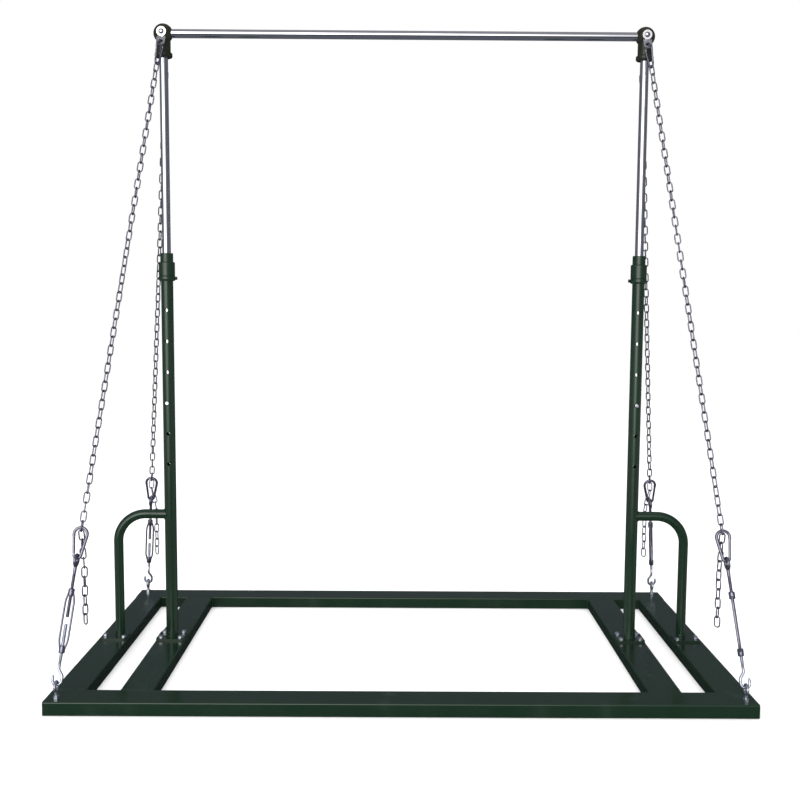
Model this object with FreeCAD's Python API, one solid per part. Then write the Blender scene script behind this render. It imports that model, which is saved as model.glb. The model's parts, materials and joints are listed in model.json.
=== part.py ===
"""Free-standing high bar: a heavy box-section floor frame, two telescopic posts, a steel bar between
two ball-shaped heads, and four chain stays with turnbuckles.

Millimetres, +Z up.  The origin is the centre of the floor frame's footprint, on the floor.
X runs along the bar, -Y is the front.  Every helper returns solids; export() writes one file per node.
"""
import FreeCAD, Part
import math
import os

V = FreeCAD.Vector
os.makedirs("parts", exist_ok=True)

# ---------------------------------------------------------------- clearances
RUN_FIT = 0.08          # radial play of a part that slides or turns in another
SEAT_FIT = 0.05         # radial play of a part that is clamped or screwed into another
BODY_GAP = 0.5          # smallest gap between parts that move past each other
PAST = 1.0              # how far a cutting tool runs past the face that it cuts

# ---------------------------------------------------------------- floor frame
POST_SPACING = 1900.0   # between post centres
SIDE_BAY = 300.0        # from a post's centre to the frame's end
FRAME_DEPTH = 1400.0    # along Y
RAIL_W = 120.0          # rail section, lying flat
RAIL_H = 50.0
RAIL_WALL = 3.0
RAIL_CORNER = 5.0       # outside corner radius of the box section
END_PLATE = 3.0

# ---------------------------------------------------------------- posts
POST_R = 24.15
POST_WALL = 3.0
POST_TOP = 1572.0
FLANGE_MARGIN = 2.0     # rail left bare on each side of a post's flange
FLANGE_Y = 104.0
FLANGE_T = 8.0
FLANGE_BOLT_IN = (19.0, 17.0)   # bolt centres, in from the flange's edges along X and Y
HOLE_DROP = 167.0       # highest locking hole, below the post's top
HOLE_PITCH = 125.0
HOLE_COUNT = 6
HOLE_R = 7.0
PIN_HOLE = 4            # the hole that holds the pins, counted from the top
PIN_HEAD_RIM = 1.8      # pin head's radius over the hole's
PIN_HEAD_L = 13.0
PIN_HEAD_ROUND = 3.5
PIN_STICK_OUT = 9.0     # pin behind the post
PIN_POINT = 2.0         # chamfer at the pin's tip

# ---------------------------------------------------------------- telescopic part
GUIDE_ROOM = 4.15       # between the post's bore and the inner tube, filled by bush and glide
TUBE_WALL = 3.0
GLIDE_LENGTH = 45.0
BAR_Z = 2490.0
BAR_R = 17.0
BAR_WALL = 4.0

# ---------------------------------------------------------------- collar on each post
COLLAR_GRIP = 50.0      # how far the collar reaches down the post
COLLAR_RING_H = 22.0
COLLAR_RING_WALL = 9.35     # walls round the post's outside
COLLAR_BODY_H = 54.0
COLLAR_BODY_WALL = 7.85
COLLAR_SHOULDER = 5.0   # rounding at the body's top
COLLAR_NECK_H = 35.0
COLLAR_NECK_WALL = 1.35
COLLAR_EDGE = 2.0       # rounding at the neck's top
COLLAR_LIP = 5.0        # metal above the bush
COLLAR_SCREW_R = 4.0
COLLAR_SCREW_HEAD_R = 6.5
COLLAR_SCREW_HEAD_H = 7.0

# ---------------------------------------------------------------- heads
BALL_WALL = 21.0        # round the bar or the inner tube, whichever is thicker
NECK_WALL = 11.0        # round the inner tube
RING_RIM = 6.5          # ring's radius over the neck's
RING_H = 20.0
HEAD_DROP = 93.0        # from the bar's axis to the bottom of the ring
FACE_CUT = 4.0          # flat face that the bar enters, in from the ball's surface
LUG_SEAT_CUT = 5.0      # flats that the chain lugs sit on, in from the ball's surface
BAR_STOP = 11.0         # the bar stops this far from the post's axis
TUBE_STOP = 1.5         # the tube stops this far below the bar
HEAD_BOLT_R = 6.0
SET_SCREW_R = 5.0
SET_SCREW_RISE = 9.0    # above the ring
SET_SCREW_OUT = 3.0

# ---------------------------------------------------------------- chain lugs
LUG_T = 5.0
LUG_DISC_R = 18.5
LUG_DISC_BOLT_R = 6.5
LUG_BEND_DROP = 21.0    # bend line, below the bar's axis
LUG_BEND_DEG = 35.0
LUG_TONGUE = 26.0       # bend line to hole centre
LUG_TONGUE_R = 17.0
LUG_HOLE_R = 10.5
LUG_PLAY = 2.8          # room under the snap hook's slanting wire
DOME_R = 11.0
DOME_H = 4.5

# ---------------------------------------------------------------- braces
BRACE_IN = 24.0         # brace's axis, from the side rail's centre line towards the post
BRACE_R = 19.0
BRACE_WALL = 2.5
BRACE_Z = 570.0
BRACE_BEND = 115.0
BRACE_PLATE_IN = 5.0    # foot plate's centre, from the side rail's centre line towards the post
BRACE_PLATE_MARGIN = 8.0    # rail's width over the plate's, on each side
BRACE_PLATE_Y = (-46.0, 32.0)
BRACE_PLATE_T = 8.0
BRACE_BOLT_IN = 12.0    # bolt centres, in from the plate's side edges
BRACE_BOLT_Y = (-10.0, -30.0)   # outer and inner bolt

# ---------------------------------------------------------------- fasteners
BOLT_R = 5.0
BOLT_FLATS_RIM = 7.0    # across the flats, over the bolt's diameter
BOLT_HEAD_H = 7.0
HEX_CHAMFER = 1.0
WASHER_RIM = 5.5        # washer's radius over the bolt's
WASHER_T = 2.0
NUT_H = 8.0
BOLT_REACH = 14.0       # thread below the rail's top wall

# ---------------------------------------------------------------- stays
ANCHOR_INSET = 38.0     # eye bolts, in from the frame's corners both ways
EYE_STAND = 10.0        # eye's underside above its nut
EYE_IN_R = 12.0
EYE_WIRE = 5.0
EYE_SHANK_R = 6.0
SHANK_PAST_NUT = 4.0
ANCHOR_FLATS_RIM = 7.0  # across the flats, over the shank's diameter
ANCHOR_NUT_H = 10.0
HOOK_WIRE = 5.0
HOOK_BOW_R = 16.0
HOOK_PLAY = 1.4
HOOK_TIP = 12.0
HOOK_NECK = (1.1, 2.6)  # heights where the hook's neck starts and ends its slant, in bow radii
THREAD_BELOW_BODY = 22.0
BODY_START = 115.0      # turnbuckle body, measured along the stay from the eye bolt's eye
BODY_LENGTH = 225.0
BODY_BOSS_WALL = 5.0    # round the rods
BODY_BOSS_L = 26.0
BODY_HALF_W = 19.0
BODY_BAR_W = 7.0
BODY_BAR_T = 9.0
BODY_TAPER = 40.0       # length over which the side bars spread from a boss
BODY_TURN = {"front_left": 0.0, "front_right": 68.0, "rear_left": 20.0, "rear_right": 60.0}  # about the stay
BODY_END_INSET = 10.0   # side bars' ends, in from the body's ends
BODY_ROUND = 3.0
ROD_R = 6.0
ROD_END_GAP = 24.0      # between the two rod ends inside the body
ROD_EYE = 440.0         # centre of the eye rod's eye
ROD_EYE_IN_R = 14.0     # big enough for the snap hook's bow
ROD_EYE_WIRE = 5.5

LOWER_HOOK = {"length": 120.0, "wire": 5.5, "wide": 24.0, "narrow": 13.0}
UPPER_HOOK = {"length": 100.0, "wire": 4.0, "wide": 18.0, "narrow": 11.0}
UPPER_TURN = 66.0       # how far the upper snap hooks are turned about the stay, mirrored side to side
GATE_SHARE = 0.85       # gate radius over wire radius
HINGE_STEP = 7.0        # hook's end to the gate's hinge
NOSE_LENGTH = 6.0
TAB_R = 4.0
TAB_T = 3.6
SLOT_ROOM = 1.2         # slot in the gate, over the tab's radius
GATE_PIN_R = 1.5
GATE_PIN_SHORT = 0.6    # pin ends, below the gate's surface

LINK_WIRE = 2.5
LINK_IN_HALF = 17.5     # half the inside length, so the pitch is twice this when pulled tight
LINK_HOOK_ROOM = 1.5    # half the room between a link's sides and the lower snap hook's wire
LINK_PLAY = 0.4
TAIL_LINKS = 10
TAIL_LEANS = {"front": ((12.0, 0.0), (6.0, 0.0), (0.0, 4.0), (0.0, 4.0)),       # degrees inwards, along
              "rear": ((12.0, 0.0), (6.0, 14.0), (0.0, 15.0), (0.0, 8.0))}      # Y and along X
TAIL_TURN = (90.0, 84.0)    # first spare link about its length, and each one after it on from the last
CHAIN_TWIST = 135.0     # slow twist over a whole chain, on top of the quarter turns

# ---------------------------------------------------------------- worked-out places
POST_X = POST_SPACING / 2
FRAME_WIDTH = POST_SPACING + 2 * SIDE_BAY
RAIL_TOP = RAIL_H
SIDE_RAIL_X = FRAME_WIDTH / 2 - RAIL_W / 2
FLANGE_X = RAIL_W - 2 * FLANGE_MARGIN
FLANGE_BOLT_X = FLANGE_X / 2 - FLANGE_BOLT_IN[0]
FLANGE_BOLT_Y = FLANGE_Y / 2 - FLANGE_BOLT_IN[1]
FLANGE_TOP = RAIL_TOP + FLANGE_T
HOLE_TOP_Z = POST_TOP - HOLE_DROP
PIN_Z = HOLE_TOP_Z - (PIN_HOLE - 1) * HOLE_PITCH
PIN_R = HOLE_R - RUN_FIT
PIN_HEAD_R = HOLE_R + PIN_HEAD_RIM
TUBE_BOTTOM = PIN_Z + PIN_R + BODY_GAP
TUBE_TOP = BAR_Z - BAR_R - TUBE_STOP
POST_IN_R = POST_R - POST_WALL
TUBE_R = POST_IN_R - GUIDE_ROOM
COLLAR_BOTTOM = POST_TOP - COLLAR_GRIP
COLLAR_RING_R = POST_R + COLLAR_RING_WALL
COLLAR_BODY_R = POST_R + COLLAR_BODY_WALL
COLLAR_NECK_R = POST_R + COLLAR_NECK_WALL
COLLAR_TOP = COLLAR_BOTTOM + COLLAR_RING_H + COLLAR_BODY_H + COLLAR_NECK_H
BALL_R = max(BAR_R, TUBE_R) + BALL_WALL
NECK_R = TUBE_R + NECK_WALL
RING_R = NECK_R + RING_RIM
FACE_X = BALL_R - FACE_CUT
FLAT_Y = BALL_R - LUG_SEAT_CUT
HEAD_BOTTOM = BAR_Z - HEAD_DROP
BRACE_X = SIDE_RAIL_X - BRACE_IN
BRACE_PLATE_X = SIDE_RAIL_X - BRACE_PLATE_IN
BRACE_PLATE_W = RAIL_W - 2 * BRACE_PLATE_MARGIN
BRACE_BOLTS = ((BRACE_PLATE_W / 2 - BRACE_BOLT_IN, BRACE_BOLT_Y[0]),
               (BRACE_BOLT_IN - BRACE_PLATE_W / 2, BRACE_BOLT_Y[1]))
BOLT_FLATS = 2 * BOLT_R + BOLT_FLATS_RIM
WASHER_R = BOLT_R + WASHER_RIM
ANCHOR_X = FRAME_WIDTH / 2 - ANCHOR_INSET
ANCHOR_Y = FRAME_DEPTH / 2 - ANCHOR_INSET
ANCHOR_Z = RAIL_TOP + ANCHOR_NUT_H + EYE_STAND + 2 * EYE_WIRE + EYE_IN_R    # centre of the eye
ANCHOR_FLATS = 2 * EYE_SHANK_R + ANCHOR_FLATS_RIM
BODY_BOSS_R = ROD_R + BODY_BOSS_WALL
LINK_MID_W = LOWER_HOOK["wire"] + LINK_HOOK_ROOM + LINK_WIRE     # centre line's half width
SIDES = (("left", -1), ("right", 1))
STAYS = [(fore + "_" + name, sx, sy) for fore, sy in (("front", -1), ("rear", 1)) for name, sx in SIDES]


# ================================================================ small helpers
def box(x0, x1, y0, y1, z0, z1):
    return Part.makeBox(x1 - x0, y1 - y0, z1 - z0, V(x0, y0, z0))


def rod(r, a, b):
    """Cylinder of radius r from point a to point b."""
    return Part.makeCylinder(r, (b - a).Length, a, b - a)


def hexagon(flats, height, at):
    """Hexagonal prism standing on `at`, with its corners lightly chamfered at the top."""
    corner = flats / math.sqrt(3)
    points = [at + V(corner * math.cos(math.radians(60 * i)), corner * math.sin(math.radians(60 * i)), 0)
              for i in range(7)]
    prism = Part.Face(Part.makePolygon(points)).extrude(V(0, 0, height))
    cone = Part.makeCone(corner + height, corner - HEX_CHAMFER, height + HEX_CHAMFER, at)
    return prism.common(cone)


def tube(r_out, wall, a, b):
    return rod(r_out, a, b).cut(rod(r_out - wall, a, b))


def bent_wire(points, radii):
    """Straight runs through `points`, joined by tangent arcs of the given radii."""
    edges = []
    start = points[0]
    for corner, radius, after in zip(points[1:-1], radii, points[2:]):
        back = (start - corner).normalize()
        ahead = (after - corner).normalize()
        half = back.getAngle(ahead) / 2
        cut = radius / math.tan(half)
        first = corner + back * cut
        last = corner + ahead * cut
        centre = corner + (back + ahead).normalize() * (radius / math.sin(half))
        middle = centre + (corner - centre).normalize() * radius
        edges.append(Part.LineSegment(start, first).toShape())
        edges.append(Part.Arc(first, middle, last).toShape())
        start = last
    edges.append(Part.LineSegment(start, points[-1]).toShape())
    return Part.Wire(edges)


def sweep(wire, radius):
    """Round bar of the given radius along a smooth wire."""
    first = wire.Edges[0]
    at = first.valueAt(first.FirstParameter)
    along = first.tangentAt(first.FirstParameter)
    profile = Part.Wire([Part.Circle(at, along, radius).toShape()])
    return wire.makePipeShell([profile], True, False)


def fuse(shapes):
    return shapes[0].multiFuse(shapes[1:]).removeSplitter()


def solid_of(shape):
    """The single solid inside a boolean result."""
    return shape.Solids[0]


def export(node, solids):
    shape = Part.makeCompound(solids) if len(solids) > 1 else solids[0]
    shape.exportStep("parts/" + node + ".step")


def mirrored(shape):
    """Copy on the other side of the YZ plane."""
    return shape.mirror(V(0, 0, 0), V(1, 0, 0))


def on_side(shape, sx):
    """Shapes are drawn for the right side, +X; the left one is the mirror image."""
    return shape if sx > 0 else mirrored(shape)


# ================================================================ floor frame
def box_section(x0, x1, y0, y1, along):
    """Hollow rail on the floor, open at both ends; `along` is "x" or "y"."""
    outer = box(x0, x1, y0, y1, 0, RAIL_H)
    if along == "x":
        inner = box(x0, x1, y0 + RAIL_WALL, y1 - RAIL_WALL, RAIL_WALL, RAIL_H - RAIL_WALL)
        long_edges = [e for e in outer.Edges if abs(e.tangentAt(0).x) > 0.5]
    else:
        inner = box(x0 + RAIL_WALL, x1 - RAIL_WALL, y0, y1, RAIL_WALL, RAIL_H - RAIL_WALL)
        long_edges = [e for e in outer.Edges if abs(e.tangentAt(0).y) > 0.5]
    return outer.makeFillet(RAIL_CORNER, long_edges).cut(inner)


def drilled(rail, places, radius):
    """Round holes through the top wall of a rail."""
    for x, y in places:
        rail = rail.cut(rod(radius, V(x, y, RAIL_H - 2 * RAIL_WALL), V(x, y, RAIL_H + PAST)))
    return rail


def post_bolt_places():
    return [(sx * POST_X + dx, dy) for _, sx in SIDES
            for dx in (-FLANGE_BOLT_X, FLANGE_BOLT_X) for dy in (-FLANGE_BOLT_Y, FLANGE_BOLT_Y)]


def brace_bolt_places():
    return [(sx * (BRACE_PLATE_X + dx), dy) for _, sx in SIDES for dx, dy in BRACE_BOLTS]


def anchor_places():
    return [(sx * ANCHOR_X, sy * ANCHOR_Y) for _, sx, sy in STAYS]


def make_frame():
    half_w = FRAME_WIDTH / 2
    half_d = FRAME_DEPTH / 2
    inner_y = half_d - RAIL_W
    rail_x = half_w - END_PLATE
    bolt_hole = BOLT_R + SEAT_FIT
    shank_hole = EYE_SHANK_R + SEAT_FIT
    plates = []
    for name, sy in (("front_rail", -1), ("rear_rail", 1)):
        near, far = sorted((sy * inner_y, sy * half_d))
        rail = box_section(-rail_x, rail_x, near, far, "x")
        export(name, [drilled(rail, [p for p in anchor_places() if p[1] * sy > 0], shank_hole)])
        for sx in (-1, 1):
            x0, x1 = sorted((sx * rail_x, sx * half_w))
            plate = box(x0, x1, near, far, 0, RAIL_H)
            edges = [e for e in plate.Edges if abs(e.tangentAt(0).x) > 0.5]
            plates.append(plate.makeFillet(RAIL_CORNER, edges))
    export("rail_end_plates", plates)
    for name, sx in SIDES:
        outer = sorted((sx * (half_w - RAIL_W), sx * half_w))
        rail = box_section(outer[0], outer[1], -inner_y, inner_y, "y")
        places = [p for p in brace_bolt_places() if p[0] * sx > 0]
        export(name + "_side_rail", [drilled(rail, places, bolt_hole)])
        middle = sx * POST_X
        rail = box_section(middle - RAIL_W / 2, middle + RAIL_W / 2, -inner_y, inner_y, "y")
        places = [p for p in post_bolt_places() if p[0] * sx > 0]
        export(name + "_inner_rail", [drilled(rail, places, bolt_hole)])


# ================================================================ fasteners
def hex_bolt(x, y, seat):
    """Hex bolt and its washer, head up, on a surface at height `seat`."""
    head_at = V(x, y, seat + WASHER_T)
    shank_end = V(x, y, RAIL_TOP - RAIL_WALL - BOLT_REACH)
    bolt = hexagon(BOLT_FLATS, BOLT_HEAD_H, head_at).fuse(rod(BOLT_R, shank_end, head_at)).removeSplitter()
    washer = tube(WASHER_R, WASHER_R - BOLT_R - SEAT_FIT, V(x, y, seat), head_at)
    return [bolt, washer]


def weld_nut(x, y, radius, flats, height):
    """Nut welded under a rail's top wall."""
    low = V(x, y, RAIL_TOP - RAIL_WALL - height)
    past = V(0, 0, PAST)
    return hexagon(flats, height, low).cut(rod(radius + SEAT_FIT, low - past, low + V(0, 0, height) + past))


def make_fasteners():
    post_bolts = [s for x, y in post_bolt_places() for s in hex_bolt(x, y, FLANGE_TOP)]
    brace_bolts = [s for x, y in brace_bolt_places() for s in hex_bolt(x, y, RAIL_TOP + BRACE_PLATE_T)]
    export("post_foot_bolts", post_bolts)
    export("brace_foot_bolts", brace_bolts)
    nuts = [weld_nut(x, y, BOLT_R, BOLT_FLATS, NUT_H) for x, y in post_bolt_places() + brace_bolt_places()]
    nuts += [weld_nut(x, y, EYE_SHANK_R, ANCHOR_FLATS, ANCHOR_NUT_H) for x, y in anchor_places()]
    export("rail_weld_nuts", nuts)


# ================================================================ posts and braces
def make_posts():
    flanges = []
    for name, sx in SIDES:
        x = sx * POST_X
        post = tube(POST_R, POST_WALL, V(x, 0, FLANGE_TOP), V(x, 0, POST_TOP))
        for i in range(HOLE_COUNT):
            z = HOLE_TOP_Z - i * HOLE_PITCH
            post = post.cut(rod(HOLE_R, V(x, -2 * POST_R, z), V(x, 2 * POST_R, z)))
        export(name + "_post", [solid_of(post)])
        plate = box(x - FLANGE_X / 2, x + FLANGE_X / 2, -FLANGE_Y / 2, FLANGE_Y / 2, RAIL_TOP, FLANGE_TOP)
        plate = plate.makeFillet(FLANGE_T, [e for e in plate.Edges if abs(e.tangentAt(0).z) > 0.5])
        for bx, by in post_bolt_places():
            if bx * sx > 0:
                low = V(bx, by, RAIL_TOP - PAST)
                plate = plate.cut(rod(BOLT_R + SEAT_FIT, low, V(bx, by, FLANGE_TOP + PAST)))
        flanges.append(solid_of(plate))
    export("post_flanges", flanges)


def make_braces():
    plate_top = RAIL_TOP + BRACE_PLATE_T
    path = bent_wire([V(BRACE_X, 0, plate_top), V(BRACE_X, 0, BRACE_Z), V(POST_X, 0, BRACE_Z)], [BRACE_BEND])
    bar = sweep(path, BRACE_R).cut(sweep(path, BRACE_R - BRACE_WALL))
    post = rod(POST_R, V(POST_X, 0, BRACE_Z - BRACE_BEND), V(POST_X, 0, BRACE_Z + BRACE_BEND))
    inside = box(POST_X - POST_R, POST_X, -POST_R, POST_R, BRACE_Z - POST_R, BRACE_Z + POST_R)
    brace = max(bar.cut(post).cut(inside).Solids, key=lambda s: s.Volume)
    half = BRACE_PLATE_W / 2
    plate = box(BRACE_PLATE_X - half, BRACE_PLATE_X + half, BRACE_PLATE_Y[0], BRACE_PLATE_Y[1],
                RAIL_TOP, plate_top)
    plate = plate.makeFillet(BRACE_PLATE_T, [e for e in plate.Edges if abs(e.tangentAt(0).z) > 0.5])
    for dx, dy in BRACE_BOLTS:
        x = BRACE_PLATE_X + dx
        plate = plate.cut(rod(BOLT_R + SEAT_FIT, V(x, dy, RAIL_TOP - PAST), V(x, dy, plate_top + PAST)))
    plate = solid_of(plate)
    for name, sx in SIDES:
        export(name + "_brace", [on_side(brace, sx)])
    export("brace_foot_plates", [on_side(plate, sx) for _, sx in SIDES])


# ================================================================ collars, bushes and lock pins
def make_collars():
    ring_top = COLLAR_BOTTOM + COLLAR_RING_H
    body_top = ring_top + COLLAR_BODY_H
    bush_top = COLLAR_TOP - COLLAR_LIP
    screws = []
    bushes = []
    for name, sx in SIDES:
        x = sx * POST_X
        ring = rod(COLLAR_RING_R, V(x, 0, COLLAR_BOTTOM), V(x, 0, ring_top))
        ring = ring.makeFillet(COLLAR_RING_H / 3, [e for e in ring.Edges if e.Length > 6 * COLLAR_RING_R])
        body = rod(COLLAR_BODY_R, V(x, 0, ring_top - PAST), V(x, 0, body_top))
        body = body.makeFillet(COLLAR_SHOULDER, [e for e in body.Edges if e.Length > 6 * COLLAR_BODY_R
                                                 and e.BoundBox.ZMin > body_top - PAST])
        neck = rod(COLLAR_NECK_R, V(x, 0, body_top - PAST), V(x, 0, COLLAR_TOP))
        neck = neck.makeFillet(COLLAR_EDGE, [e for e in neck.Edges if e.Length > 6 * COLLAR_NECK_R
                                             and e.BoundBox.ZMin > COLLAR_TOP - PAST])
        collar = fuse([ring, body, neck])
        collar = collar.cut(rod(POST_R + SEAT_FIT, V(x, 0, COLLAR_BOTTOM - PAST), V(x, 0, POST_TOP)))
        collar = collar.cut(rod(POST_IN_R, V(x, 0, POST_TOP - PAST), V(x, 0, bush_top)))
        collar = collar.cut(rod(TUBE_R + BODY_GAP, V(x, 0, bush_top - PAST), V(x, 0, COLLAR_TOP + PAST)))
        screw_z = COLLAR_BOTTOM + COLLAR_RING_H / 2
        inward = V(-sx, 0, 0)
        head_seat = V(x, 0, screw_z) + inward * COLLAR_RING_R
        tip = V(x, 0, screw_z) + inward * (POST_R + SEAT_FIT)
        collar = collar.cut(rod(COLLAR_SCREW_R + SEAT_FIT, tip - inward, head_seat + inward))
        export(name + "_collar", [solid_of(collar)])
        head = rod(COLLAR_SCREW_HEAD_R, head_seat, head_seat + inward * COLLAR_SCREW_HEAD_H)
        screws.append(solid_of(head.fuse(rod(COLLAR_SCREW_R, tip, head_seat)).removeSplitter()))
        bushes.append(tube(POST_IN_R - SEAT_FIT, POST_IN_R - SEAT_FIT - TUBE_R - RUN_FIT,
                           V(x, 0, POST_TOP + BODY_GAP), V(x, 0, bush_top)))
    export("collar_screws", screws)
    export("guide_bushes", bushes)


def make_lock_pins():
    back = POST_R + PIN_STICK_OUT
    head_front = POST_R + BODY_GAP + PIN_HEAD_L
    for name, sx in SIDES:
        x = sx * POST_X
        shaft = rod(PIN_R, V(x, -POST_R - BODY_GAP, PIN_Z), V(x, back, PIN_Z))
        shaft = shaft.makeChamfer(PIN_POINT, [e for e in shaft.Edges if e.BoundBox.YMin > back - PAST])
        head = rod(PIN_HEAD_R, V(x, -head_front, PIN_Z), V(x, -POST_R - BODY_GAP, PIN_Z))
        head = head.makeFillet(PIN_HEAD_ROUND, [e for e in head.Edges if e.BoundBox.YMax < PAST - head_front])
        export(name + "_lock_pin", [solid_of(fuse([head, shaft]))])


# ================================================================ telescopic part
def make_telescope():
    glides = []
    for name, sx in SIDES:
        x = sx * POST_X
        export(name + "_inner_tube", [tube(TUBE_R, TUBE_WALL, V(x, 0, TUBE_BOTTOM), V(x, 0, TUBE_TOP))])
        top = V(x, 0, TUBE_BOTTOM + GLIDE_LENGTH)
        wall = POST_IN_R - RUN_FIT - TUBE_R - SEAT_FIT
        glides.append(tube(POST_IN_R - RUN_FIT, wall, V(x, 0, TUBE_BOTTOM), top))
    export("tube_glides", glides)
    end = POST_X - BAR_STOP
    export("high_bar", [tube(BAR_R, BAR_WALL, V(-end, 0, BAR_Z), V(end, 0, BAR_Z))])


def make_heads():
    """Cast elbows; the ball's inner side and its two lug seats are cut flat."""
    centre = V(0, 0, BAR_Z)
    screws = []
    bolts = []
    ball = Part.makeSphere(BALL_R, centre)
    neck = rod(NECK_R, V(0, 0, HEAD_BOTTOM + PAST), centre)
    ring = rod(RING_R, V(0, 0, HEAD_BOTTOM), V(0, 0, HEAD_BOTTOM + RING_H))
    ring = ring.makeFillet(RING_H / 3, [e for e in ring.Edges if e.Length > 6 * RING_R])
    casting = fuse([ball, neck, ring])
    big = 2 * BALL_R
    casting = casting.cut(box(-big, -FACE_X, -big, big, BAR_Z - BALL_R, BAR_Z + BALL_R))
    for sy in (-1, 1):
        near, far = sorted((sy * FLAT_Y, sy * big))
        casting = casting.cut(box(-big, big, near, far, BAR_Z - BALL_R, BAR_Z + BALL_R))
    casting = casting.cut(rod(TUBE_R + SEAT_FIT, V(0, 0, HEAD_BOTTOM - PAST), V(0, 0, TUBE_TOP)))
    casting = casting.cut(rod(BAR_R + SEAT_FIT, V(-big, 0, BAR_Z), V(-BAR_STOP, 0, BAR_Z)))
    casting = casting.cut(rod(HEAD_BOLT_R + SEAT_FIT, V(0, -big, BAR_Z), V(0, big, BAR_Z)))
    screw_z = HEAD_BOTTOM + RING_H + SET_SCREW_RISE
    screw_tip = V(0, -TUBE_R - SEAT_FIT, screw_z)
    screw_end = V(0, -NECK_R - SET_SCREW_OUT, screw_z)
    casting = solid_of(casting.cut(rod(SET_SCREW_R + SEAT_FIT, V(0, 0, screw_z), screw_end)))
    screw = rod(SET_SCREW_R, screw_end, screw_tip)
    seat = FLAT_Y + LUG_T
    bolt = rod(HEAD_BOLT_R, V(0, -seat, BAR_Z), V(0, seat, BAR_Z))
    dome_r = (DOME_R ** 2 + DOME_H ** 2) / (2 * DOME_H)
    dome = Part.makeSphere(dome_r)
    for sy in (-1, 1):
        cap = dome.copy()
        cap.translate(V(0, sy * (seat + DOME_H - dome_r), BAR_Z))
        near, far = sorted((sy * seat, sy * (seat + DOME_H + PAST)))
        bolt = bolt.fuse(cap.common(box(-big, big, near, far, BAR_Z - BALL_R, BAR_Z + BALL_R)))
    bolt = solid_of(bolt.removeSplitter())
    for name, sx in SIDES:
        to_post = V(sx * POST_X, 0, 0)
        side = []
        for shape in (casting, screw, bolt):
            copy = on_side(shape, sx)
            copy.translate(to_post)
            side.append(copy)
        export(name + "_head", [side[0]])
        screws.append(side[1])
        bolts.append(side[2])
    export("head_set_screws", screws)
    export("head_bolts", bolts)


def lug_frame(sx, sy):
    """Hole centre, tongue direction and plate normal of one chain lug."""
    bend = math.radians(LUG_BEND_DEG)
    start = V(sx * POST_X, sy * (FLAT_Y + LUG_T / 2), BAR_Z - LUG_BEND_DROP)
    down = V(0, sy * math.sin(bend), -math.cos(bend))
    normal = V(0, sy * math.cos(bend), math.sin(bend))
    return start, down, normal


def make_lugs():
    lugs = []
    for _, sx, sy in STAYS:
        start, down, normal = lug_frame(sx, sy)
        face = V(sx * POST_X, sy * FLAT_Y, BAR_Z)
        out = V(0, sy * LUG_T, 0)
        disc = rod(LUG_DISC_R, face, face + out)
        hole = start + down * LUG_TONGUE
        half = normal * (LUG_T / 2)
        side = V(LUG_TONGUE_R, 0, 0)
        foot = start - down * (LUG_T / 2)
        corners = [foot - side - half, foot + side - half, hole + side - half, hole - side - half]
        strip = Part.Face(Part.makePolygon(corners + corners[:1])).extrude(normal * LUG_T)
        lug = fuse([disc, strip, rod(LUG_TONGUE_R, hole - half, hole + half)])
        lug = lug.cut(rod(LUG_HOLE_R, hole - normal * (2 * LUG_T), hole + normal * (2 * LUG_T)))
        lug = lug.cut(rod(LUG_DISC_BOLT_R, face - out, face + out * 2))
        inside = sorted((sy * (FLAT_Y - LUG_T), sy * FLAT_Y))
        lug = lug.cut(box(face.x - BALL_R, face.x + BALL_R, inside[0], inside[1], HEAD_BOTTOM, BAR_Z))
        lugs.append(solid_of(lug))
    export("chain_lugs", lugs)


# ================================================================ stays
class Stay:
    """Places along one stay, from the eye bolt (0) up to the lug, and the frame that it lies in."""

    def __init__(self, name, sx, sy):
        self.name = name
        self.sx = sx
        self.sy = sy
        self.foot = V(sx * ANCHOR_X, sy * ANCHOR_Y, ANCHOR_Z)
        start, down, _ = lug_frame(sx, sy)
        sag = LUG_HOLE_R - UPPER_HOOK["wire"] - LUG_PLAY
        self.head = start + down * (LUG_TONGUE + sag)
        self.up = (self.head - self.foot).normalize()
        outward = V(sx, 0, 0)
        self.out = (outward - self.up * outward.dot(self.up)).normalize()
        self.across = self.up.cross(self.out)
        self.upper_turn = sx * sy * UPPER_TURN
        self.length = (self.head - self.foot).Length
        self.lower_bow = ROD_EYE + ROD_EYE_IN_R - LOWER_HOOK["wire"] - BODY_GAP
        self.upper_bow = self.length - bow_to_bow(UPPER_HOOK)
        top_bow = self.lower_bow + bow_to_bow(LOWER_HOOK)
        self.chain_start = top_bow - LOWER_HOOK["wire"] - 2 * LINK_WIRE - LINK_PLAY
        self.chain_end = self.upper_bow + UPPER_HOOK["wire"] + LINK_PLAY

    def place(self, shape, along, turn=0.0):
        """Move a shape drawn about its own Z axis to `along` on the stay, turned about the stay."""
        about = FreeCAD.Rotation(V(0, 0, 1), turn)
        frame = FreeCAD.Rotation(self.out, self.across, self.up, "ZXY")
        copy = shape.copy()
        copy.Placement = FreeCAD.Placement(self.foot + self.up * along, frame.multiply(about))
        return copy


def bow_to_bow(hook):
    """Centre line length of a snap hook."""
    return hook["length"] - 2 * hook["wire"]


def make_link():
    """One chain link about the origin: long way up Z, flat in the YZ plane."""
    straight = LINK_IN_HALF + LINK_WIRE - LINK_MID_W
    points = [V(0, LINK_MID_W, -straight), V(0, LINK_MID_W, straight),
              V(0, -LINK_MID_W, straight), V(0, -LINK_MID_W, -straight)]
    edges = [Part.LineSegment(points[0], points[1]).toShape(),
             Part.Arc(points[1], V(0, 0, straight + LINK_MID_W), points[2]).toShape(),
             Part.LineSegment(points[2], points[3]).toShape(),
             Part.Arc(points[3], V(0, 0, -straight - LINK_MID_W), points[0]).toShape()]
    return sweep(Part.Wire(edges), LINK_WIRE)


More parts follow.
